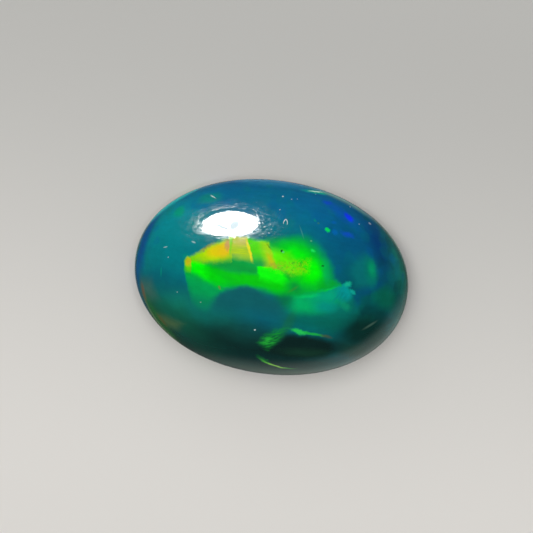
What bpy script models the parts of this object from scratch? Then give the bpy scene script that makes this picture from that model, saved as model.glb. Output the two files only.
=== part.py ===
"""Black opal cabochon: one polished oval stone, domed on top and flat on its back.

The stone rests on its flat back. +X runs along its length, +Y across its width and +Z up through the dome.
Run with: blender --background --python part.py
"""

import math

import bmesh
import bpy

MM = 0.001

# Driving dimensions, in metres
LENGTH = 14.0 * MM
WIDTH = 10.0 * MM
DOME_HEIGHT = 4.5 * MM  # from the girdle, the stone's widest line, up to its crown
GIRDLE_HEIGHT = 1.0 * MM  # from the flat back up to the girdle

# The girdle is an oval that is a little fuller at its shoulders than an ellipse, which has an exponent of 2
OVAL_EXPONENT = 2.06

# Below the girdle the side leans in to the flat back, with both of its edges rounded
BACK_SHARE = 0.92  # the flat back's size as a share of the girdle's
GIRDLE_ROUND = 0.35 * MM
BACK_EDGE_ROUND = 0.20 * MM

DOME_SUBDIVISIONS = 5
EDGE_STEPS = 3


def clear_scene():
    for thing in list(bpy.data.objects):
        bpy.data.objects.remove(thing)


def opal_finish():
    """Polished black opal: a dark blue-green body under a glossy skin."""
    colour = (0.005, 0.12, 0.13, 1.0)
    material = bpy.data.materials.new("black_opal")
    material.use_nodes = True
    shader = material.node_tree.nodes["Principled BSDF"]
    shader.inputs["Base Color"].default_value = colour
    shader.inputs["Roughness"].default_value = 0.08
    shader.inputs["Metallic"].default_value = 0.0
    shader.inputs["IOR"].default_value = 1.45
    material.diffuse_color = colour
    return material


def to_oval(point):
    """Moves a point of a round shape, 1 in radius at the girdle, out to the stone's oval."""
    angle = math.atan2(point.y, point.x)
    away = math.hypot(point.x, point.y)
    along, across = math.cos(angle), math.sin(angle)
    power = 2.0 / OVAL_EXPONENT
    point.x = away * LENGTH / 2 * math.copysign(abs(along) ** power, along)
    point.y = away * WIDTH / 2 * math.copysign(abs(across) ** power, across)


def side_below_girdle():
    """(share of the girdle's size, height) down the side, from under the girdle to the flat back's edge."""
    half = LENGTH / 2
    lean = math.atan2(half - half * BACK_SHARE, GIRDLE_HEIGHT)  # from upright
    steps = []
    for step in range(1, EDGE_STEPS + 1):
        turn = lean * step / EDGE_STEPS
        steps.append((half - GIRDLE_ROUND * (1 - math.cos(turn)), GIRDLE_HEIGHT - GIRDLE_ROUND * math.sin(turn)))
    quarter = math.pi / 2
    edge_centre = half * BACK_SHARE - BACK_EDGE_ROUND * math.tan((quarter - lean) / 2)
    for step in range(EDGE_STEPS + 1):
        turn = lean + (quarter - lean) * step / EDGE_STEPS
        steps.append((edge_centre + BACK_EDGE_ROUND * math.cos(turn), BACK_EDGE_ROUND * (1 - math.sin(turn))))
    return [(reach / half, height) for reach, height in steps]


def make_stone():
    shape = bmesh.new()

    # The dome is the upper half of a ball, with a loop of edges at its waist that becomes the girdle
    bmesh.ops.create_icosphere(shape, subdivisions=DOME_SUBDIVISIONS, radius=1.0)
    below = [vert for vert in shape.verts if vert.co.z < -1e-4]
    bmesh.ops.delete(shape, geom=below, context="VERTS")
    for vert in shape.verts:
        vert.co.z = GIRDLE_HEIGHT + max(vert.co.z, 0.0) * DOME_HEIGHT

    # The girdle's loop is extruded down the side, ring by ring, and closed with the flat back
    rim = [edge for edge in shape.edges if edge.is_boundary]
    share_before = 1.0
    for share, height in side_below_girdle():
        extruded = bmesh.ops.extrude_edge_only(shape, edges=rim)["geom"]
        rim = [item for item in extruded if isinstance(item, bmesh.types.BMEdge)]
        for vert in {vert for edge in rim for vert in edge.verts}:
            vert.co.x *= share / share_before
            vert.co.y *= share / share_before
            vert.co.z = height
        share_before = share
    bmesh.ops.edgeloop_fill(shape, edges=rim)

    for vert in shape.verts:
        to_oval(vert.co)
    bmesh.ops.recalc_face_normals(shape, faces=shape.faces[:])

    mesh = bpy.data.meshes.new("opal_cabochon")
    shape.to_mesh(mesh)
    shape.free()
    mesh.shade_smooth()
    mesh.set_sharp_from_angle(angle=math.radians(40.0))
    mesh.materials.append(opal_finish())
    stone = bpy.data.objects.new("opal_cabochon", mesh)
    bpy.context.scene.collection.objects.link(stone)
    return stone


clear_scene()
make_stone()
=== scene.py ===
"""The looks of one black opal cabochon: the polished stone, its pale table, its light and its camera."""

import math

import bpy
from mathutils import Matrix, Vector


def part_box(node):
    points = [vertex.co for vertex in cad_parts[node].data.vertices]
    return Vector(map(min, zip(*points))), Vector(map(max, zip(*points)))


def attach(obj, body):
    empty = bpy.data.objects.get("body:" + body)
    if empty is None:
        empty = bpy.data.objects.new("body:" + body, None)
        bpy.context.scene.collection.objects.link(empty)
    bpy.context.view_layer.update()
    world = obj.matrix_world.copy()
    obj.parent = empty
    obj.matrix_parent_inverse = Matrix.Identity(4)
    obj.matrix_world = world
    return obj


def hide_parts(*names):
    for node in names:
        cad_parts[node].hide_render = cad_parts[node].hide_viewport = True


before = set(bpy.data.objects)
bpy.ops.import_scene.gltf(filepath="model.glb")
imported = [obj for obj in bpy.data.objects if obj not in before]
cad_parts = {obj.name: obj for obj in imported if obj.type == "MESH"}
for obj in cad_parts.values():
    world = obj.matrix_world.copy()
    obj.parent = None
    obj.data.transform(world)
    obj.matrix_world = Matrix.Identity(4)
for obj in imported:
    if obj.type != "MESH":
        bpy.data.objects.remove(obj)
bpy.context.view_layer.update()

# The stone is one piece of natural black opal, cut as an oval cabochon: a high dome, a rounded girdle and
# a flat back. It is ground and polished by hand out of one lump. Nothing holds it: it rests on its back
# until it is set.

MM = 0.001
low_corner, high_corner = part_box("opal_cabochon")
STONE_LENGTH = high_corner.x - low_corner.x
STONE_WIDTH = high_corner.y - low_corner.y
GIRDLE_HEIGHT = 1.0 * MM  # from the flat back up to the stone's widest line
DOME_HEIGHT = high_corner.z - low_corner.z - GIRDLE_HEIGHT
OVAL_EXPONENT = 2.06  # an ellipse has 2, and this oval is a little fuller at its shoulders
BACK_SHARE = 0.92  # of the girdle's size, if the back's edge were sharp
GIRDLE_ROUND = 0.35 * MM
BACK_EDGE_ROUND = 0.20 * MM
EDGE_STEPS = 8
HAND_POLISH = 0.010 * MM  # how far the dome strays from a true curve


def side_below_girdle():
    """(share of the girdle's size, height) down the side, from under the girdle to the flat back's edge."""
    half = STONE_LENGTH / 2
    lean = math.atan2(half - half * BACK_SHARE, GIRDLE_HEIGHT)  # from upright
    steps = []
    for step in range(1, EDGE_STEPS + 1):
        turn = lean * step / EDGE_STEPS
        inwards = GIRDLE_ROUND * (1 - math.cos(turn))
        steps.append((half - inwards, GIRDLE_HEIGHT - GIRDLE_ROUND * math.sin(turn)))
    quarter = math.pi / 2
    edge_centre = half * BACK_SHARE - BACK_EDGE_ROUND * math.tan((quarter - lean) / 2)
    for step in range(EDGE_STEPS + 1):
        turn = lean + (quarter - lean) * step / EDGE_STEPS
        steps.append((edge_centre + BACK_EDGE_ROUND * math.cos(turn), BACK_EDGE_ROUND * (1 - math.sin(turn))))
    return [(reach / half, height) for reach, height in steps]


# The dome is the upper half of a ball, pressed to its height
girdle_centre = (0.0, 0.0, GIRDLE_HEIGHT)
bpy.ops.object.select_all(action="DESELECT")
bpy.ops.mesh.primitive_ico_sphere_add(subdivisions=7, radius=STONE_LENGTH / 2, location=girdle_centre)
stone = bpy.context.object
stone.name = "opal_polished"
stone.data.name = "opal_polished"
bpy.ops.object.transform_apply(location=True, rotation=True, scale=True)
bpy.ops.object.mode_set(mode="EDIT")
bpy.ops.mesh.select_all(action="SELECT")
bpy.ops.mesh.bisect(plane_co=girdle_centre, plane_no=(0, 0, 1), clear_inner=True, threshold=0.001 * MM)
bpy.ops.mesh.select_all(action="SELECT")
bpy.ops.transform.resize(value=(1, 1, DOME_HEIGHT / (STONE_LENGTH / 2)), center_override=girdle_centre)

# The rim is drawn down the side and closed with the flat back, with rings in it so that its edge shades well
bpy.ops.mesh.select_mode(type="EDGE")
bpy.ops.mesh.select_all(action="DESELECT")
bpy.ops.mesh.select_non_manifold(
    use_wire=False, use_multi_face=False, use_non_contiguous=False, use_verts=False
)
share_before, height_before = 1.0, GIRDLE_HEIGHT
for share, height in side_below_girdle():
    bpy.ops.mesh.extrude_region_move(TRANSFORM_OT_translate={"value": (0, 0, height - height_before)})
    narrower = share / share_before
    bpy.ops.transform.resize(value=(narrower, narrower, 1), center_override=(0, 0, 0))
    share_before, height_before = share, height
for narrower in (0.985, 0.9, 0.75, 0.5, 0.25):  # each ring as a share of the one before it
    bpy.ops.mesh.extrude_region_move(TRANSFORM_OT_translate={"value": (0, 0, 0)})
    bpy.ops.transform.resize(value=(narrower, narrower, 1), center_override=(0, 0, 0))
bpy.ops.mesh.edge_face_add()
bpy.ops.mesh.select_all(action="SELECT")
bpy.ops.mesh.normals_make_consistent(inside=False)
bpy.ops.object.mode_set(mode="OBJECT")


def to_oval(point):
    """Moves a point of the round shape in to the stone's oval."""
    angle = math.atan2(point.y, point.x)
    away = math.hypot(point.x, point.y) / (STONE_LENGTH / 2)
    along, across = math.cos(angle), math.sin(angle)
    power = 2.0 / OVAL_EXPONENT
    point.x = away * STONE_LENGTH / 2 * math.copysign(abs(along) ** power, along)
    point.y = away * STONE_WIDTH / 2 * math.copysign(abs(across) ** power, across)


dome_points = []
for vert in stone.data.vertices:
    to_oval(vert.co)
    if vert.co.z > GIRDLE_HEIGHT + 0.1 * MM:
        dome_points.append(vert.index)

# A dome that is worked by hand on a wheel is never quite true, which bends the light's edge in it a little
stone.vertex_groups.new(name="dome").add(dome_points, 1.0, "REPLACE")
hollows = bpy.data.textures.new("hand_polish", "CLOUDS")
hollows.noise_scale = 3.2 * MM
bpy.ops.object.modifier_add(type="DISPLACE")
unevenness = stone.modifiers[-1]
unevenness.texture = hollows
unevenness.vertex_group = "dome"
unevenness.strength = HAND_POLISH
bpy.ops.object.modifier_apply(modifier=unevenness.name)
bpy.ops.object.shade_smooth_by_angle(angle=math.radians(40.0))


class Wire:
    """One socket of a finish, so that sums on sockets are written as sums."""

    def __init__(self, socket):
        self.socket = socket

    def add(self, kind, settings=None, sockets=None, output=0):
        """Adds a node to the finish that this wire is in, and gives back the wire that leaves it."""
        tree = self.socket.id_data
        node = tree.nodes.new(kind)
        for name, value in (settings or {}).items():
            setattr(node, name, value)
        for name, value in (sockets or {}).items():
            if isinstance(value, Wire):
                tree.links.new(value.socket, node.inputs[name])
            else:
                node.inputs[name].default_value = value
        return Wire(node.outputs[output])

    def sum(self, operation, *values):
        return self.add("ShaderNodeMath", {"operation": operation}, dict(enumerate(values)))

    def vector(self, operation, *values, output=0):
        return self.add("ShaderNodeVectorMath", {"operation": operation}, dict(enumerate(values)), output)

    def __add__(self, other):
        return self.sum("ADD", self, other)

    def __sub__(self, other):
        return self.sum("SUBTRACT", self, other)

    def __rsub__(self, other):
        return self.sum("SUBTRACT", other, self)

    def __mul__(self, other):
        return self.sum("MULTIPLY", self, other)

    def __truediv__(self, other):
        return self.sum("DIVIDE", self, other)

    def __pow__(self, other):
        return self.sum("POWER", self, other)

    __radd__ = __add__
    __rmul__ = __mul__

    def ease(self, start, end, cover=1.0):
        """0 at start, cover at end, and smooth between them, whichever of start and end is the larger."""
        settings = {"interpolation_type": "SMOOTHSTEP"}
        sockets = {"Value": self, "From Min": start, "From Max": end, "To Max": cover}
        return self.add("ShaderNodeMapRange", settings, sockets)

    def parts(self):
        """The three numbers that make up a place or a colour."""
        first = self.add("ShaderNodeSeparateXYZ", None, {0: self})
        return [Wire(socket) for socket in first.socket.node.outputs]


def tint(red, green, blue):
    """A colour, given as it looks on a screen from 0 to 255."""
    shares = [channel / 255 for channel in (red, green, blue)]
    return (*(s / 12.92 if s <= 0.04045 else ((s + 0.055) / 1.055) ** 2.4 for s in shares), 1.0)


def lay(under, colour, cover):
    """Lays a colour over what is under it, where cover is 1."""
    return cover.add("ShaderNodeMix", {"data_type": "RGBA"}, {0: cover, 6: under, 7: colour}, 2)


def lay_all(under, layers):
    """Lays a list of (colour, cover) in order, the last one on top."""
    for colour, cover in layers:
        under = lay(under, colour, cover)
    return under


def widest(covers):
    """One cover that reaches as far as any of those given."""
    joined = covers[0]
    for cover in covers[1:]:
        joined = joined.sum("MAXIMUM", joined, cover)
    return joined


def noise(place, scale, detail=2.0, roughness=0.5, output=0):
    sockets = {"Vector": place, "Scale": scale, "Detail": detail, "Roughness": roughness}
    return place.add("ShaderNodeTexNoise", None, sockets, output)


def stray(place, scale, reach, detail=2.0):
    """The same place, led astray by up to half of reach, so that what is laid there gets a natural edge."""
    drift = noise(place, scale, detail, 0.6, 1)
    drift = drift.vector("SUBTRACT", drift, (0.5, 0.5, 0.5))
    return drift.vector("MULTIPLY_ADD", drift, (reach, reach, 0.0), place)


def measured(place, start, heading):
    """How far a place lies from start along a heading, in lengths of the heading. Each place has 1 as its
    third number, so that one dot product also takes off the start."""
    offset = heading[0] * start[0] + heading[1] * start[1]
    return place.vector("DOT_PRODUCT", place, (heading[0], heading[1], -offset), output=1)


def turned_about(place, centre, reach, turn):
    """How far along and across an oval a place lies from its centre, each as a share of the oval's reach."""
    angle = math.radians(turn)
    far = measured(place, centre, (math.cos(angle) / reach[0], math.sin(angle) / reach[0]))
    wide = measured(place, centre, (-math.sin(angle) / reach[1], math.cos(angle) / reach[1]))
    return far.add("ShaderNodeCombineXYZ", None, {0: far, 1: wide})


def oval(place, centre, reach, turn=0.0, soft=0.5, cover=1.0):
    """cover inside an oval, 0 outside it, and soft is the share of its reach over which it fades."""
    if turn:
        spot = turned_about(place, centre, reach, turn)
    else:
        shares = (1 / reach[0], 1 / reach[1], 0.0)
        start = (-centre[0] / reach[0], -centre[1] / reach[1], 0.0)
        spot = place.vector("MULTIPLY_ADD", place, shares, start)
    return spot.vector("LENGTH", spot, output=1).ease(1 + soft / 2, 1 - soft / 2, cover)


def facet(place, corners, soft, cover=1.0):
    """cover inside straight edges that go round anticlockwise. soft is one fade for all, or one for each."""
    fades = soft if isinstance(soft, (list, tuple)) else [soft] * len(corners)
    inside = None
    for start, end, fade in zip(corners, corners[1:] + corners[:1], fades):
        inward = Vector((start[1] - end[1], end[0] - start[0])).normalized() / fade
        side = measured(place, start, inward)
        inside = side if inside is None else side.sum("MINIMUM", inside, side)
    return inside.ease(-0.5, 0.5, cover)


def strokes(place, turn, spacing, length, detail=2.0):
    """Noise drawn out into strokes that all run one way."""
    sockets = {
        "Vector": place,
        "Location": (turn * 0.37, turn * 0.11, 0.0),
        "Rotation": (0.0, 0.0, math.radians(turn)),
        "Scale": (length, spacing, 1.0),
    }
    return noise(place.add("ShaderNodeMapping", {"vector_type": "TEXTURE"}, sockets), 1.0, detail)


black_opal = bpy.data.materials.new("polished_black_opal")
black_opal.use_nodes = True
black_opal.node_tree.nodes.clear()
coordinates = Wire(black_opal.node_tree.nodes.new("ShaderNodeTexCoord").outputs["Object"])

# Places on the stone are in millimetres. The dome is rolled out flat: spread_place is how far along and
# across a spot is from the crown, measured over the curve, so that no patch is stretched where it turns down
millimetres = coordinates.vector("MULTIPLY", coordinates, (1 / MM, 1 / MM, 1 / MM))
half_length, half_width = STONE_LENGTH / 2 / MM, STONE_WIDTH / 2 / MM
along, across, height = millimetres.parts()
rise = (height - GIRDLE_HEIGHT / MM) / (DOME_HEIGHT / MM)
flat_reach = ((along / half_length) ** 2 + (across / half_width) ** 2) ** 0.5
fall = flat_reach.sum("ARCTAN2", flat_reach, rise) * (2 / math.pi)  # 0 at the crown, 1 at the girdle
stretch = fall / flat_reach.sum("MAXIMUM", flat_reach, 0.0001)  # no division by 0 at the crown
spread_place = stretch.add("ShaderNodeCombineXYZ", None, {0: along * stretch, 1: across * stretch, 2: 1.0})
spread_along, spread_across, _ = spread_place.parts()
drifting = stray(spread_place, 0.9, 0.5)
ragged = stray(spread_place, 3.5, 0.16, 4.0)
fuzzy = stray(ragged, 11.0, 0.16, 3.0)

# The body colour: deep peacock blue-green, bluer over the top, near black below, in broad clouds. Each row
# is a colour, where it lies on the dome, how far it reaches, its turn in degrees and how well it covers
clouds = noise(spread_place, 0.55, 3.0)
stone_colour = lay(tint(0, 102, 128), tint(0, 112, 118), clouds.ease(0.35, 0.65))
for colour, centre, reach, turn, cover in (
    (tint(2, 136, 142), (-4.4, 1.6), (1.9, 1.5), 20, 0.90),
    (tint(4, 144, 156), (-3.9, 3.0), (1.5, 0.9), 40, 0.80),
    (tint(0, 120, 126), (-4.0, 0.1), (1.4, 1.0), 0, 0.70),
    (tint(2, 105, 158), (-1.4, 4.0), (4.0, 1.2), 0, 0.85),
    (tint(6, 114, 140), (0.2, 3.3), (2.2, 0.9), 0, 0.75),
    (tint(4, 102, 156), (2.0, 3.4), (1.6, 1.2), -10, 0.80),
    (tint(0, 88, 140), (3.2, 2.8), (1.3, 1.2), -20, 0.75),
    (tint(2, 86, 122), (2.4, 1.8), (1.1, 0.9), 0, 0.75),
    (tint(0, 82, 94), (2.9, 0.8), (0.9, 0.6), 0, 0.80),
    (tint(0, 58, 116), (4.2, 2.2), (0.7, 1.2), 15, 0.90),
    (tint(4, 79, 104), (4.2, 1.2), (0.9, 0.7), 0, 0.70),
    (tint(16, 124, 104), (5.5, 1.3), (0.8, 1.9), 10, 0.85),
    (tint(0, 82, 82), (4.5, 0.0), (1.7, 0.9), 0, 0.90),
    (tint(2, 37, 27), (3.4, -0.9), (1.2, 0.7), -10, 0.90),
    (tint(8, 50, 39), (4.6, -1.9), (1.6, 0.9), -30, 0.80),
    (tint(4, 72, 100), (-3.6, -0.8), (1.5, 0.8), 0, 0.80),
    (tint(16, 130, 104), (-2.5, -1.1), (1.6, 0.7), -6, 0.85),
    (tint(12, 102, 80), (-4.0, -1.4), (1.4, 0.5), -15, 0.75),
    (tint(18, 98, 72), (-2.3, -2.0), (1.7, 0.7), -12, 0.85),
    (tint(8, 45, 41), (0.2, -2.5), (3.4, 1.2), -3, 0.95),
    (tint(8, 42, 38), (-0.7, -1.80), (1.3, 0.42), -10, 0.85),
    (tint(2, 79, 150), (-5.9, 1.1), (0.42, 2.1), 0, 0.85),
    (tint(24, 84, 48), (-4.0, -2.5), (1.5, 0.6), -48, 0.85),
    (tint(16, 62, 48), (-2.6, -3.2), (2.0, 0.8), -14, 0.90),
    (tint(22, 66, 52), (0.8, -3.7), (2.8, 0.6), 0, 0.90),
    (tint(48, 152, 196), (-0.8, 4.75), (2.6, 0.35), 0, 0.65),
):
    stone_colour = lay(stone_colour, colour, oval(drifting, centre, reach, turn, 1.5, cover))

# The body is a quilt of soft cells, each a little bluer or greener, lighter or darker than the next
quilt = ragged.add(
    "ShaderNodeTexVoronoi", {"feature": "SMOOTH_F1"}, {"Vector": ragged, "Scale": 2.3, "Smoothness": 0.8}, 1
)
bluer, greener, darker = quilt.parts()
stone_colour = lay_all(stone_colour, [
    (tint(0, 92, 160), bluer.ease(0.55, 1.0) * spread_across.ease(0.3, 1.6, 0.30)),
    (tint(0, 128, 104), greener.ease(0.55, 1.0) * spread_across.ease(-1.0, 0.5, 0.22)),
    (tint(0, 50, 50), darker.ease(0.45, 0.85) * spread_along.ease(2.2, 4.2, 0.32)),
])

# Below the crown a long dark pill with a rounded right end lies under a streak, and at the left rim are a
# brown and an olive lobe
brown_lobe = [(-5.64, -1.44), (-5.20, -1.62), (-4.30, -1.00), (-4.70, -0.50), (-5.50, -0.66)]
olive_lobe = [(-4.49, -2.05), (-4.14, -2.29), (-3.30, -2.10), (-3.10, -1.75), (-3.77, -1.72), (-4.40, -1.90)]
stone_colour = lay_all(stone_colour, [
    (tint(20, 62, 52), oval(drifting, (3.3, -1.85), (0.9, 0.35), -25, 1.2, 0.8)),
    (tint(0, 108, 76), oval(drifting, (4.36, 0.28), (0.62, 0.40), -20, 1.3, 0.60)),
    (tint(9, 38, 35), oval(ragged, (1.15, -1.66), (1.50, 0.52), 0, 0.60)),
    (tint(20, 60, 44), oval(ragged, (1.5, -1.90), (0.8, 0.20), 0, 1.6, 0.8)),
    (tint(66, 108, 98), facet(ragged, brown_lobe, 0.70, 0.75)),
    (tint(118, 88, 66), oval(ragged, (-5.24, -1.25), (0.14, 0.42), 20, 1.3, 0.8)),
    (tint(76, 106, 68), facet(fuzzy, olive_lobe, 0.55, 0.90)),
    (tint(106, 80, 54), oval(ragged, (-4.12, -2.08), (0.28, 0.13), -40, 1.3, 0.9)),
])

# The right half: a turquoise patch that is torn like a feather, a dim green oval with a brighter side, and
# blue and green sparks
feather_edge = [
    (0.55, -0.66), (2.20, -0.86), (2.98, -0.18), (2.68, 0.40), (2.38, 0.80), (0.70, 0.22), (0.50, 0.00),
]
feather = widest([
    facet(ragged, feather_edge, [1.00, 0.90, 0.40, 0.12, 0.06, 0.20, 0.80]),
    oval(fuzzy, (2.47, 0.75), (0.13, 0.10), 20, 0.8),
    oval(fuzzy, (2.68, 0.51), (0.12, 0.08), -40, 0.9),
])
tear = strokes(ragged, 62, 0.10, 0.5, 3.0).ease(0.40, 0.65, 0.8)
tear = tear * oval(ragged, (2.25, 0.20), (0.24, 0.34), 20, 1.2)
stone_colour = lay_all(stone_colour, [
    (tint(0, 76, 124), oval(ragged, (3.46, 0.70), (0.60, 0.17), 22, 1.6, 0.75)),
    (tint(4, 116, 116), oval(ragged, (3.14, 1.24), (0.58, 0.56), 0, 0.9, 0.85)),
    (tint(0, 122, 104), oval(ragged, (3.40, 1.24), (0.27, 0.52), 14, 1.1, 0.8)),
    (tint(0, 154, 104), oval(ragged, (3.45, 1.36), (0.17, 0.26), 8, 1.4, 0.9)),
    (tint(0, 86, 112), oval(ragged, (2.84, 0.22), (0.20, 0.36), -15, 1.4, 0.8)),
    (tint(2, 112, 98), feather),
    (tint(0, 176, 100), feather * oval(ragged, (1.15, 0.10), (1.00, 0.44), 8, 1.1)),
    (tint(0, 164, 122), feather * oval(ragged, (1.95, 0.42), (0.70, 0.24), 18, 1.2)),
    (tint(0, 152, 150), feather * oval(ragged, (2.40, 0.50), (0.30, 0.30), 60, 1.1)),
    (tint(0, 142, 132), feather * oval(ragged, (1.80, -0.05), (0.40, 0.20), 0, 1.5, 0.8)),
    (tint(0, 136, 128), feather * tear),
    (tint(10, 156, 112), feather * oval(ragged, (2.46, 0.02), (0.22, 0.11), -35, 1.5, 0.6)),
    (tint(2, 96, 80), feather * spread_across.ease(-0.25, -0.75, 0.75)),
    (tint(0, 212, 110), feather * oval(ragged, (0.98, 0.24), (0.40, 0.08), 8, 1.2)),
    (tint(0, 206, 72), oval(ragged, (1.68, 0.50), (0.38, 0.05), 19, 1.2)),
    (tint(18, 178, 142), oval(fuzzy, (2.47, 0.76), (0.12, 0.07), 30, 1.2)),
    (tint(12, 160, 144), oval(fuzzy, (2.68, 0.52), (0.11, 0.05), -40, 1.2)),
    (tint(4, 92, 190), oval(fuzzy, (2.30, 3.42), (0.72, 0.24), -38, 1.7, 0.7)),
    (tint(10, 76, 215), oval(fuzzy, (1.79, 3.82), (0.18, 0.10), 10, 1.5, 0.8)),
    (tint(14, 58, 255), oval(fuzzy, (2.66, 3.26), (0.22, 0.15), -50, 1.1)),
    (tint(12, 80, 210), oval(fuzzy, (2.44, 2.49), (0.24, 0.09), -8, 1.5, 0.75)),
    (tint(0, 104, 196), oval(fuzzy, (1.91, 2.51), (0.10, 0.09), 0, 1.5, 0.6)),
    (tint(0, 96, 190), oval(fuzzy, (1.90, 2.88), (0.10, 0.06), 0, 1.4, 0.6)),
    (tint(0, 226, 92), oval(fuzzy, (1.62, 2.54), (0.085, 0.085), -20, 0.8)),
    (tint(0, 160, 112), oval(fuzzy, (1.15, 2.83), (0.05, 0.05), 0, 1.2, 0.5)),
    (tint(0, 180, 150), oval(ragged, (1.44, 4.45), (0.60, 0.13), 8, 1.4)),
    # painted light: a near-white line of light near the far rim
    (tint(215, 255, 235), oval(ragged, (1.38, 4.47), (0.32, 0.045), 12, 1.0)),
])

# The rim: thin lines of light painted into its colour where the stone lets light out, and dim green patches
# inside it on the left
painted_rim_light = fall.ease(0.88, 0.965)
stone_colour = lay_all(stone_colour, [
    # painted light: pale lines along the rim stand in for light let out at its edge
    (tint(6, 196, 200), painted_rim_light * oval(spread_place, (-5.35, 3.05), (1.50, 0.45), 47, 0.9)),
    (tint(120, 176, 164), painted_rim_light * oval(spread_place, (2.95, 4.15), (1.30, 0.30), -24, 1.1, 0.7)),
    (tint(36, 108, 48), fall.ease(0.66, 0.77) * oval(drifting, (-4.30, -2.40), (1.20, 0.50), -56, 0.9, 0.8)),
    (tint(128, 156, 116), fall.ease(0.775, 0.81) * oval(ragged, (-4.30, -2.40), (1.10, 0.50), -56, 0.9, 0.6)),
    # painted reflection: grey-green laid over the right end's rim, as a pale reflection in the polish
    (tint(52, 106, 92), fall.ease(0.80, 0.97) * spread_along.ease(4.0, 5.6, 0.7)),
    (tint(0, 158, 118), oval(drifting, (-4.22, 2.40), (0.28, 0.28), 30, 1.1, 0.8)),
    (tint(10, 142, 122), oval(drifting, (-3.15, 3.20), (0.55, 0.24), 10, 1.2, 0.7)),
])

# The fire: a broad green band over the crown, with a dark pool below it that is round on top
pool = widest([
    oval(stray(spread_place, 1.6, 0.22), (-0.66, -0.95), (1.32, 1.16), 0, 0.30),
    oval(ragged, (-1.06, -0.62), (0.80, 0.74), 0, 0.34),
    oval(ragged, (-0.80, -0.56), (0.82, 0.81), 0, 0.30),
    oval(ragged, (-0.16, -0.94), (0.78, 0.74), 0, 0.90),
])
left_corners = [
    (-2.30, -1.05), (-1.30, -1.00), (-1.20, 0.90), (-2.99, 0.85),
    (-3.20, 0.66), (-3.13, 0.44), (-2.94, -0.02), (-2.71, -0.49),
]
left_block = facet(ragged, left_corners, [1.10, 0.60, 0.20, 0.08, 0.10, 0.14, 0.20, 0.45])
left_block = left_block * spread_across.ease(-1.05, -0.25)
right_lobe = facet(ragged, [
    (0.10, 0.14), (0.76, 0.26), (1.47, 0.48), (1.86, 0.74), (1.78, 1.12),
    (1.52, 1.50), (1.14, 1.90), (0.80, 2.06), (0.45, 2.04), (-0.40, 1.80),
], [0.30, 0.16, 0.12, 0.46, 0.56, 0.62, 0.60, 0.55, 0.45, 0.34])
lobe_tip = facet(fuzzy, [(1.30, 0.42), (2.25, 0.70), (2.20, 0.78), (1.40, 1.00)], [0.10, 0.05, 0.20, 0.20])
under_edge = facet(ragged, [(-0.60, 0.12), (0.60, 0.10), (1.60, 0.50), (1.00, 1.10), (-0.60, 1.00)], 0.36)
crown_blocks = facet(ragged, [(-1.30, 0.90), (0.20, 0.95), (-0.02, 1.90), (-0.48, 1.80), (-1.10, 1.80)], 0.18)
long_oval = oval(ragged, (-1.15, 0.55), (1.80, 0.62), 2, 0.30)
band = widest([left_block, long_oval, right_lobe, under_edge, crown_blocks]) * (1 - pool)
lobe_rim = right_lobe * widest([spread_along.ease(1.30, 1.75), spread_across.ease(1.65, 2.05)])
stone_colour = lay_all(stone_colour, [
    (tint(8, 104, 100), oval(drifting, (-2.0, -0.65), (0.9, 0.7), 0, 1.2, 0.7)),
    (tint(0, 162, 80), widest([band, lobe_tip]) * 0.94),
    (tint(6, 126, 94), band * spread_across.ease(-0.10, -0.80)),
    (tint(0, 164, 70), band * spread_across.ease(-0.15, 0.35)),
    (tint(0, 196, 22), band * oval(ragged, (-1.35, 0.50), (1.60, 0.34), 0, 1.0)),
    (tint(2, 138, 82), lobe_rim * 0.8),
    (tint(0, 190, 34), right_lobe * oval(drifting, (0.60, 1.12), (0.88, 0.80), -30, 0.9)),
    (tint(4, 150, 60), band * oval(ragged, (0.72, 0.46), (0.60, 0.17), 14, 1.4)),
    (tint(2, 172, 44), lobe_tip * oval(ragged, (1.50, 0.62), (0.50, 0.22), 15, 1.1)),
    (tint(4, 112, 62), oval(ragged, (0.34, 0.02), (0.30, 0.26), -40, 1.5, 0.8)),
    (tint(60, 138, 50), oval(ragged, (0.60, 0.38), (0.17, 0.04), 38, 1.4, 0.5)),
    (tint(2, 154, 60), oval(ragged, (-1.35, 0.80), (1.00, 0.18), -3, 1.1)),
    (tint(2, 160, 66), oval(ragged, (-1.10, 0.66), (0.40, 0.12), -6, 1.2, 0.8)),
])

# The brightest facets of the green
left_flat = [(-2.83, 0.38), (-2.26, 0.28), (-2.32, 0.60), (-2.60, 0.76), (-2.94, 0.80)]
right_flat = [
    (-0.52, 0.58), (0.22, 0.50), (0.38, 0.66), (0.22, 0.88), (-0.01, 1.00), (-0.36, 0.99), (-0.62, 0.93),
]
stone_colour = lay_all(stone_colour, [
    (tint(0, 216, 8), oval(ragged, (-2.24, 0.42), (0.72, 0.20), -22, 1.5)),
    (tint(0, 255, 0), facet(ragged, left_flat, [0.34, 0.50, 0.30, 0.14, 0.03])),
    (tint(0, 204, 6), oval(ragged, (-0.75, 0.52), (0.62, 0.16), 0, 1.3)),
    (tint(0, 208, 4), oval(ragged, (0.00, 0.50), (0.46, 0.24), -18, 1.3)),
    (tint(0, 255, 0), facet(ragged, right_flat, [0.26, 0.30, 0.20, 0.10, 0.04, 0.04, 0.10])),
    (tint(0, 214, 24), oval(ragged, (0.54, 1.54), (0.52, 0.34), -8, 1.5)),
    (tint(0, 244, 6), oval(ragged, (0.62, 1.44), (0.38, 0.20), -12, 1.5)),
    (tint(0, 226, 4), oval(ragged, (1.08, 0.98), (0.44, 0.44), -20, 1.4)),
    (tint(0, 255, 0), oval(ragged, (1.14, 1.06), (0.24, 0.32), 10, 1.3)),
    (tint(0, 176, 92), oval(fuzzy, (1.66, 1.02), (0.12, 0.34), 14, 1.6, 0.5)),
])

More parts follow.
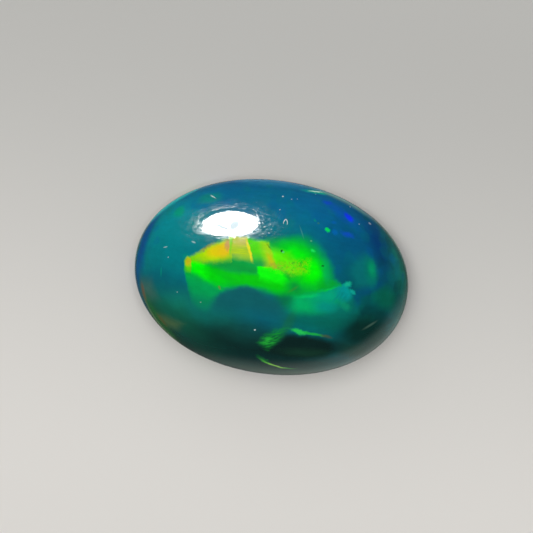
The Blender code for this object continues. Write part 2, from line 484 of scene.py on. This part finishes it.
# The crest: gold to yellow-green facets over the band's upper left, some with a hair-sharp edge
crest_edge = [
    (-2.92, 0.72), (-2.1, 0.86), (-1.50, 1.04), (-1.58, 1.68), (-2.00, 1.56), (-2.60, 1.14), (-2.98, 0.84),
]
crest = facet(fuzzy, crest_edge, [0.30, 0.36, 0.04, 0.22, 0.24, 0.20, 0.14])
amber_edge = [(-3.04, 0.32), (-2.84, 0.36), (-2.95, 0.82), (-3.06, 0.84), (-3.17, 0.66)]
amber_block = facet(ragged, amber_edge, [0.16, 0.03, 0.10, 0.12, 0.14])
lime_corners = [(-1.58, 1.13), (-0.80, 1.13), (-1.13, 1.82), (-1.75, 1.76)]
lime_block = facet(ragged, lime_corners, [0.30, 0.03, 0.16, 0.04])
lime_threads = strokes(spread_place, 2, 0.05, 0.9)
v_left = facet(ragged, [(-0.70, 0.98), (-0.20, 0.98), (-0.44, 1.78), (-1.14, 1.80)], [0.50, 0.30, 0.20, 0.03])
wedge_edge = [(-0.34, 1.00), (0.05, 0.98), (-0.14, 1.30), (-0.30, 1.76), (-0.66, 1.74)]
wedge = facet(ragged, wedge_edge, [0.18, 0.08, 0.14, 0.14, 0.34])
lime_field = facet(ragged, [
    (0.02, 0.98), (0.70, 0.88), (1.04, 1.06), (1.02, 1.38),
    (0.30, 1.50), (-0.02, 1.82), (-0.50, 1.78), (-0.32, 1.38),
], [0.16, 0.24, 0.20, 0.34, 0.40, 0.24, 0.16, 0.10])
stone_colour = lay_all(stone_colour, [
    (tint(132, 216, 4), crest),
    (tint(172, 222, 2), crest * oval(ragged, (-2.20, 1.08), (0.46, 0.28), 20, 1.3)),
    (tint(228, 208, 8), crest * oval(ragged, (-2.04, 1.22), (0.38, 0.22), 20, 1.1)),
    (tint(232, 198, 20), crest * oval(ragged, (-1.78, 1.30), (0.22, 0.26), 0, 1.2)),
    (tint(150, 140, 66), oval(fuzzy, (-2.46, 1.26), (0.24, 0.05), 40, 1.5, 0.7)),
    (tint(196, 150, 86), crest * oval(fuzzy, (-1.72, 1.52), (0.11, 0.20), 0, 1.3, 0.9)),
    (tint(88, 208, 16), amber_block),
    (tint(192, 190, 24), amber_block * oval(fuzzy, (-3.03, 0.68), (0.18, 0.17), 0, 0.9)),
    (tint(200, 166, 30), oval(fuzzy, (-3.05, 0.66), (0.05, 0.05), 0, 1.3, 0.4)),
    (tint(164, 204, 42), lime_block),
    (tint(200, 222, 26), lime_block * lime_threads.ease(0.45, 0.66) * spread_across.ease(1.1, 1.4)),
    # partly the block's own lime, partly a painted haze from the lamp's image just above it
    (tint(204, 194, 96), lime_block * oval(ragged, (-1.26, 1.68), (0.34, 0.18), 8, 1.4, 0.8)),
    (tint(116, 214, 36), lime_block * oval(ragged, (-1.64, 1.50), (0.05, 0.34), 6, 1.0, 0.8)),
    (tint(84, 222, 14), v_left * spread_across.ease(0.95, 1.45)),
    (tint(232, 226, 28), oval(ragged, (-1.00, 1.44), (0.045, 0.34), 27, 1.0)),
    (tint(88, 242, 0), lime_field),
    (tint(158, 220, 12), wedge),
    (tint(204, 198, 12), wedge * oval(ragged, (-0.22, 1.18), (0.08, 0.24), 36, 1.5, 0.85)),
    (tint(56, 112, 40), oval(fuzzy, (-0.33, 1.62), (0.13, 0.018), -38, 1.1, 0.6)),
])

# Where that fire meets the green below, it breaks up into yellow, lime and dark specks. Then come two flecks
# at the pool's edge, and the pool's own shades
stipple_edge = [
    (-0.36, 1.00), (0.00, 0.94), (0.50, 0.84), (0.96, 1.00), (1.02, 1.42), (0.55, 1.30), (-0.12, 1.20),
]
stipple_zone = facet(fuzzy, stipple_edge, 0.34)
stipple = noise(spread_place, 9.0, 4.0, 0.8)
dark_stipple = noise(spread_place.vector("ADD", spread_place, (7.3, 2.1, 0.0)), 8.0, 3.0, 0.75)
stone_colour = lay_all(stone_colour, [
    (tint(136, 220, 8), stipple_zone * stipple.ease(0.41, 0.57, 0.82)),
    (tint(188, 190, 20), stipple_zone * stipple.ease(0.58, 0.70, 0.45)),
    (tint(30, 170, 30), stipple_zone * dark_stipple.ease(0.52, 0.62, 0.55)),
    (tint(52, 110, 44), stipple_zone * dark_stipple.ease(0.60, 0.70, 0.40)),
    (tint(182, 150, 60), oval(fuzzy, (-0.08, 1.05), (0.22, 0.08), -16, 1.5) * stipple.ease(0.40, 0.60, 0.7)),
    (tint(120, 110, 60), oval(fuzzy, (-1.73, 0.05), (0.05, 0.035), -30, 1.0, 0.6)),
    (tint(20, 150, 96), oval(fuzzy, (-1.50, 0.06), (0.16, 0.03), -8, 1.3, 0.6)),
    (tint(14, 93, 97), pool * spread_across.ease(-1.25, -0.15, 0.9)),
    (tint(14, 66, 60), pool * oval(ragged, (-0.55, -1.35), (1.25, 0.45), 0, 1.3, 0.7)),
])

# The small marks below: a hatched brush mark, a bright streak with a brown tail, a lime crescent near the
# rim, and a faint pale streak at the right
brush_edge = [(-0.14, -1.66), (0.14, -1.88), (0.44, -1.38), (0.56, -1.00), (0.32, -1.04), (-0.06, -1.42)]
hatch = strokes(ragged, 28, 0.06, 0.24)
brush = facet(fuzzy, brush_edge, 0.34) * (hatch.ease(0.34, 0.62, 0.70) + 0.25)
crescent = oval(ragged, (1.3, -0.9), (2.07, 2.07), 0, 0.04) - oval(ragged, (1.3, -0.9), (2.00, 2.00), 0, 0.03)
crescent = crescent * spread_across.ease(-2.36, -2.72) * spread_along.ease(1.6, 0.6)
stone_colour = lay_all(stone_colour, [
    (tint(18, 104, 66), oval(ragged, (0.62, -0.85), (0.14, 0.50), -15, 1.5, 0.6)),
    (tint(20, 156, 50), brush),
    (tint(44, 184, 62), brush * oval(ragged, (0.08, -1.56), (0.26, 0.16), 0, 1.3, 0.7)),
    (tint(26, 172, 74), oval(ragged, (1.38, -1.04), (0.56, 0.055), -8, 1.0)),
    (tint(36, 200, 88), oval(fuzzy, (1.05, -1.01), (0.24, 0.085), -14, 1.1)),
    (tint(74, 84, 62), oval(ragged, (2.02, -1.13), (0.20, 0.05), -10, 1.3, 0.7)),
    (tint(16, 116, 50), oval(fuzzy, (0.10, -2.50), (0.30, 0.09), -38, 1.3, 0.7)),
    (tint(86, 196, 60), crescent),
    (tint(170, 220, 96), crescent * oval(ragged, (0.60, -2.84), (0.34, 0.14), -20, 1.4, 0.8)),
    (tint(84, 116, 100), oval(spread_place, (3.72, -0.72), (0.28, 0.05), 27, 1.5, 0.5)),
])

# The grain: faint streaks and clouds that every patch of fire has in it
mist = noise(ragged, 2.4, 6.0, 0.72)
streaks = strokes(drifting, 0, 0.14, 0.9, 3.0)
strength = 0.70 + 0.22 * streaks + 0.38 * mist
scaled = {0: stone_colour, "Scale": strength}
stone_colour = stone_colour.add("ShaderNodeVectorMath", {"operation": "SCALE"}, scaled)

# Two small dark pits in the crown, the larger with a pale chip beside it, a few tiny sparks, and dust and
# lint that lie on the polish
pit = oval(fuzzy, (0.06, 1.58), (0.036, 0.036), 0, 1.0)
small_pit = oval(fuzzy, (1.50, 1.26), (0.030, 0.026), 0, 1.1)
dust = widest([oval(spread_place, (u, v), (size, 0.8 * size), 30, 1.0, glow) for u, v, size, glow in (
    (-0.38, -1.17, 0.030, 0.9), (-0.13, 3.72, 0.035, 0.9), (0.23, 3.64, 0.024, 0.6), (0.46, 3.70, 0.020, 0.5),
    (-0.18, 3.05, 0.022, 0.6), (2.99, 3.94, 0.032, 0.6), (3.10, 3.05, 0.026, 0.5), (1.31, 4.23, 0.024, 0.4),
    (-3.93, 0.64, 0.024, 0.5), (-3.27, -0.49, 0.024, 0.5), (-2.31, -0.60, 0.022, 0.4),
)])
lint_bend = oval(spread_place, (0.08, 2.50), (0.08, 0.20), 0, 0.2)
lint_bend = lint_bend - oval(spread_place, (0.08, 2.48), (0.062, 0.186), 0, 0.2)
lint = widest([
    lint_bend * spread_across.ease(2.48, 2.54, 0.75),
    oval(spread_place, (-3.00, 1.36), (0.08, 0.025), -10, 1.1, 0.4),
    oval(spread_place, (-4.20, 0.97), (0.09, 0.018), 20, 1.1, 0.5),
    oval(ragged, (-2.97, 3.30), (0.17, 0.020), -30, 0.9, 0.9),
    oval(spread_place, (3.81, 3.24), (0.07, 0.05), 0, 1.2, 0.5),
])
stone_colour = lay_all(stone_colour, [
    (tint(110, 200, 150), oval(spread_place, (0.12, 1.53), (0.04, 0.03), 0, 1.2, 0.6)),
    (tint(14, 64, 30), widest([pit, small_pit])),
    (tint(60, 130, 60), oval(spread_place, (1.28, 2.74), (0.04, 0.03), 0, 1.2, 0.6)),
    (tint(24, 228, 92), oval(fuzzy, (1.12, 1.70), (0.06, 0.05), -20, 1.3)),
    (tint(120, 200, 160), oval(spread_place, (1.03, 2.04), (0.03, 0.03), 0, 1.2, 0.4)),
    (tint(90, 170, 150), oval(spread_place, (0.68, 2.30), (0.20, 0.02), 112, 1.5, 0.32)),
    (tint(0, 166, 120), oval(spread_place, (-4.15, 0.03), (0.03, 0.16), 10, 1.3, 0.5)),
    (tint(214, 230, 226), widest([dust, lint])),
])

# Under the girdle, and low on the near flank, the stone is near black with dim straight-edged flashes in it.
# The back is lapped flat but not polished
flank_edge = noise(millimetres, 0.8, 4.0)
hidden = widest([(height + 0.8 * flank_edge).ease(1.52, 1.10), spread_across.ease(-4.15, -4.70)])
flat_back = height.ease(0.12, 0.03)
deep_place = stray(millimetres, 1.2, 0.5, 3.0)
flash = deep_place.add("ShaderNodeTexVoronoi", None, {"Vector": deep_place, "Scale": 0.62}, 1)
green_flash, blue_flash, gold_flash = flash.parts()
flash_glow = hidden * noise(deep_place, 0.9, 4.0).ease(0.40, 0.66) * (1 - 0.55 * flat_back)
deep_cloud = noise(millimetres, 0.4, 4.0)
stone_colour = lay_all(stone_colour, [
    (tint(5, 34, 31), hidden * 0.96),
    (tint(8, 66, 62), hidden * deep_cloud.ease(0.48, 0.72, 0.7)),
    (tint(0, 150, 74), flash_glow * green_flash.ease(0.62, 0.66)),
    (tint(10, 84, 190), flash_glow * blue_flash.ease(0.72, 0.76)),
    (tint(196, 120, 24), flash_glow * gold_flash.ease(0.86, 0.90, 0.8)),
])

# The polish: hair-fine scratches that run every way, a patch of fine round strokes and specks that the
# polishing wheel left on the far side, which glint round the lamp's image, a dull print in that patch, and
# marks of the lap across the back
WHEEL_CENTRE = (-1.90, 2.30)
WHEEL_REACH = (1.07, 0.51)
WHEEL_TURN = 6.0
STROKES_OUTWARDS = 9.0  # how close together the round strokes lie
STROKES_ROUND = 4.6  # how often they break off on their way round
POLISH_MARK_SHARE = 0.12  # this and the next are shares of the lap's marks in depth
WHEEL_MARK_SHARE = 0.40
LAP_DEPTH = 0.0026 * MM
POLISHED = 0.045  # roughness, as are the next six
MORE_WHERE_SMUDGED = 0.035
MORE_ON_THE_BACK = 0.30
MORE_ON_DUST = 0.4
MORE_IN_THE_PRINT = 0.52
MORE_IN_SPECKS = 0.36
WHEEL_MARK_ROUGHNESS = 0.22
OPAL_IOR = 1.45
wheel_spot = turned_about(spread_place, WHEEL_CENTRE, WHEEL_REACH, WHEEL_TURN)
wheel_ring = wheel_spot.vector("LENGTH", wheel_spot, output=1)
ring_step = wheel_ring.add("ShaderNodeCombineXYZ", None, {2: wheel_ring * STROKES_OUTWARDS})
way_round = wheel_spot.vector("NORMALIZE", wheel_spot)
round_place = way_round.vector("MULTIPLY_ADD", way_round, (STROKES_ROUND, STROKES_ROUND, 0.0), ring_step)
round_strokes = noise(round_place, 1.0, 2.0, 0.7)
broken = round_strokes.ease(0.40, 0.56)
round_strokes = round_strokes.ease(0.47, 0.60) * wheel_ring.ease(2.6, 1.0)
long_strokes = []
for ring in (1.15, 1.27, 1.42):
    off_ring = wheel_ring - ring
    long_strokes.append(off_ring.sum("ABSOLUTE", off_ring).ease(0.07, 0.02))
far_left = measured(spread_place, WHEEL_CENTRE, (-0.9, 0.7)).ease(0.10, 0.45)
round_strokes = round_strokes * (0.42 + 0.58 * far_left)
past_image = wheel_ring.ease(1.00, 1.08)  # the lamp's image itself stays clean
wheel_marks = widest([round_strokes, widest(long_strokes) * broken * far_left]) * past_image
specks = noise(spread_place, 15.0, 2.0).ease(0.60, 0.72) * wheel_ring.ease(2.6, 1.4) * past_image
polish_marks = None
for turn in range(0, 180, 36):
    swell = strokes(spread_place, turn, 0.30 + 0.001 * turn, 1.8, 0.0) - 0.5
    line = swell.sum("ABSOLUTE", swell).ease(0.018, 0.0)
    polish_marks = line if polish_marks is None else polish_marks + line
lap_marks = strokes(millimetres, 35, 0.05, 2.5, 3.0)
dome_marks = polish_marks * POLISH_MARK_SHARE + wheel_marks * WHEEL_MARK_SHARE
marks = dome_marks * (1 - flat_back) + lap_marks * flat_back
skin = marks.add("ShaderNodeBump", None, {"Strength": 1.0, "Distance": LAP_DEPTH, "Height": marks})
smudges = noise(drifting, 1.1, 3.0).ease(0.54, 0.74)
dull_print = widest([
    oval(ragged, (-1.68, 2.18), (0.16, 0.20), -20, 0.7),
    oval(ragged, (-2.08, 2.05), (0.34, 0.05), -10, 0.9),
])
roughness = POLISHED + MORE_WHERE_SMUDGED * smudges + MORE_ON_THE_BACK * flat_back
roughness = roughness + MORE_ON_DUST * widest([dust, lint])
roughness = roughness + MORE_IN_THE_PRINT * dull_print + MORE_IN_SPECKS * specks
coat = 0.03 + 0.03 * smudges + 0.94 * wheel_marks

shader = black_opal.node_tree.nodes.new("ShaderNodeBsdfPrincipled")
shader.inputs["Metallic"].default_value = 0.0
shader.inputs["IOR"].default_value = OPAL_IOR
shader.inputs["Coat Roughness"].default_value = WHEEL_MARK_ROUGHNESS
shader.inputs["Coat IOR"].default_value = OPAL_IOR
finish = {"Base Color": stone_colour, "Roughness": roughness, "Coat Weight": coat, "Normal": skin}
for name, wire in finish.items():
    black_opal.node_tree.links.new(wire.socket, shader.inputs[name])
output = black_opal.node_tree.nodes.new("ShaderNodeOutputMaterial")
black_opal.node_tree.links.new(shader.outputs["BSDF"], output.inputs["Surface"])
stone.data.materials.append(black_opal)

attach(stone, "root")
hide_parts("opal_cabochon")

# The table is a plain sheet of matt card, larger than any view of the stone takes in. It lies flat under the
# stone, with painted light on it: a little paler towards the near side. The polish doesn't mirror it: the
# room below does that work.
TABLE_SIZE = 4.0
FAR_CARD_IN_PAINTED_SHADE = tint(186, 185, 181)
NEAR_CARD_IN_PAINTED_LIGHT = tint(222, 219, 214)

bpy.ops.object.select_all(action="DESELECT")
bpy.ops.mesh.primitive_plane_add(size=TABLE_SIZE, location=(0, 0, 0))
table = bpy.context.object
table.name = "table"
pale_card = bpy.data.materials.new("pale_card")
pale_card.use_nodes = True
card_shader = pale_card.node_tree.nodes["Principled BSDF"]
card_place = Wire(pale_card.node_tree.nodes.new("ShaderNodeTexCoord").outputs["Object"])
_, card_across, _ = card_place.parts()
# painted light: the card's colour is paler towards the near side, as though more light fell there
painted_light_sweep = card_across.ease(14.0 * MM, -13.0 * MM)
card_colour = lay(FAR_CARD_IN_PAINTED_SHADE, NEAR_CARD_IN_PAINTED_LIGHT, painted_light_sweep)
pale_card.node_tree.links.new(card_colour.socket, card_shader.inputs["Base Color"])
card_shader.inputs["Roughness"].default_value = 0.9
card_shader.inputs["Specular IOR Level"].default_value = 0.1
table.data.materials.append(pale_card)
table.visible_glossy = False

# The light is a round soft lamp, low on the far left, whose image is the white oval on the dome, and a wide
# soft light overhead that lights the stone and the table. The room gives an even light too. The polish sees
# it dark above, and pale low on the near side and straight below, as a pale table looks in a stone's edge.
LAMP_TOWARDS = Vector((-0.4293, 0.8394, 0.3422))
LAMP_DISTANCE = 300.0 * MM
LAMP_SIZE = (171.0 * MM, 180.0 * MM)  # across and up
LAMP_POWER = 8.0  # in watts, as is the next one
OVERHEAD_TOWARDS = Vector((-0.15, 0.25, 1.0))
OVERHEAD_DISTANCE = 600.0 * MM
OVERHEAD_SIZE = (450.0 * MM, 450.0 * MM)
OVERHEAD_POWER = 2.4
PALE_TOWARDS = Vector((0.50, -0.72, -0.47))
PALE_ROOM = (0.42, 0.45, 0.40, 1.0)
DARK_ROOM = (0.050, 0.052, 0.056, 1.0)
SOFT_ROOM = (0.40, 0.40, 0.40, 1.0)


def add_lamp(name, towards, distance, shape, size, power):
    """A flat lamp at a distance from the stone, in the direction given, facing the stone."""
    bpy.ops.object.select_all(action="DESELECT")
    bpy.ops.object.light_add(type="AREA", location=towards.normalized() * distance)
    lamp = bpy.context.object
    lamp.name = name
    lamp.rotation_euler = towards.to_track_quat("Z", "Y").to_euler()
    lamp.data.shape = shape
    lamp.data.size, lamp.data.size_y = size
    lamp.data.energy = power
    lamp.visible_camera = False
    return lamp


round_lamp = add_lamp("round_lamp", LAMP_TOWARDS, LAMP_DISTANCE, "ELLIPSE", LAMP_SIZE, LAMP_POWER)
round_lamp.visible_diffuse = False
overhead = add_lamp(
    "overhead_light", OVERHEAD_TOWARDS, OVERHEAD_DISTANCE, "RECTANGLE", OVERHEAD_SIZE, OVERHEAD_POWER
)
overhead.visible_glossy = False

room = bpy.data.worlds.new("room")
bpy.context.scene.world = room
room.use_nodes = True
sight = Wire(room.node_tree.nodes.new("ShaderNodeTexCoord").outputs["Generated"])
near_side = sight.vector("DOT_PRODUCT", sight, PALE_TOWARDS.normalized(), output=1).ease(0.72, 0.97)
_, _, sight_up = sight.parts()
low_near_side = near_side * sight_up.ease(0.0, -0.36)
straight_down = sight_up.ease(-0.88, -0.97, 0.7)
mirrored_room = lay(DARK_ROOM, PALE_ROOM, widest([low_near_side, straight_down]))
mirrored = sight.add("ShaderNodeLightPath", output=3)  # 1 where a gloss looks at the room
room_colour = lay(SOFT_ROOM, mirrored_room, mirrored)
room.node_tree.links.new(room_colour.socket, room.node_tree.nodes["Background"].inputs["Color"])

bpy.context.scene.view_settings.view_transform = "Standard"

# The camera looks down on the stone, leaning towards its far long side. It stands well back with a long lens,
# and is rolled a little, so that the stone lies askew in the picture.
CAMERA_LEAN = math.radians(14.0)  # from straight overhead
CAMERA_TURN = math.radians(10.0)  # the lean's heading, from the far side towards the left
CAMERA_ROLL = math.radians(8.64)
CAMERA_DISTANCE = 150.0 * MM
CAMERA_AIM = Vector((-0.3506, 0.5603, 1.3472)) * MM
CAMERA_LENS = 199.5

backwards = Vector((
    -math.sin(CAMERA_LEAN) * math.sin(CAMERA_TURN),
    math.sin(CAMERA_LEAN) * math.cos(CAMERA_TURN),
    math.cos(CAMERA_LEAN),
))
level = (Vector((1, 0, 0)) - backwards * backwards.x).normalized()
upright = backwards.cross(level)
rightwards = level * math.cos(CAMERA_ROLL) + upright * math.sin(CAMERA_ROLL)
upwards = upright * math.cos(CAMERA_ROLL) - level * math.sin(CAMERA_ROLL)
turned = Matrix((rightwards, upwards, backwards)).transposed().to_4x4()
bpy.ops.object.camera_add()
camera = bpy.context.object
camera.name = "camera"
camera.matrix_world = Matrix.Translation(CAMERA_AIM + backwards * CAMERA_DISTANCE) @ turned
camera.data.lens = CAMERA_LENS
camera.data.clip_start = 0.01
bpy.context.scene.camera = camera
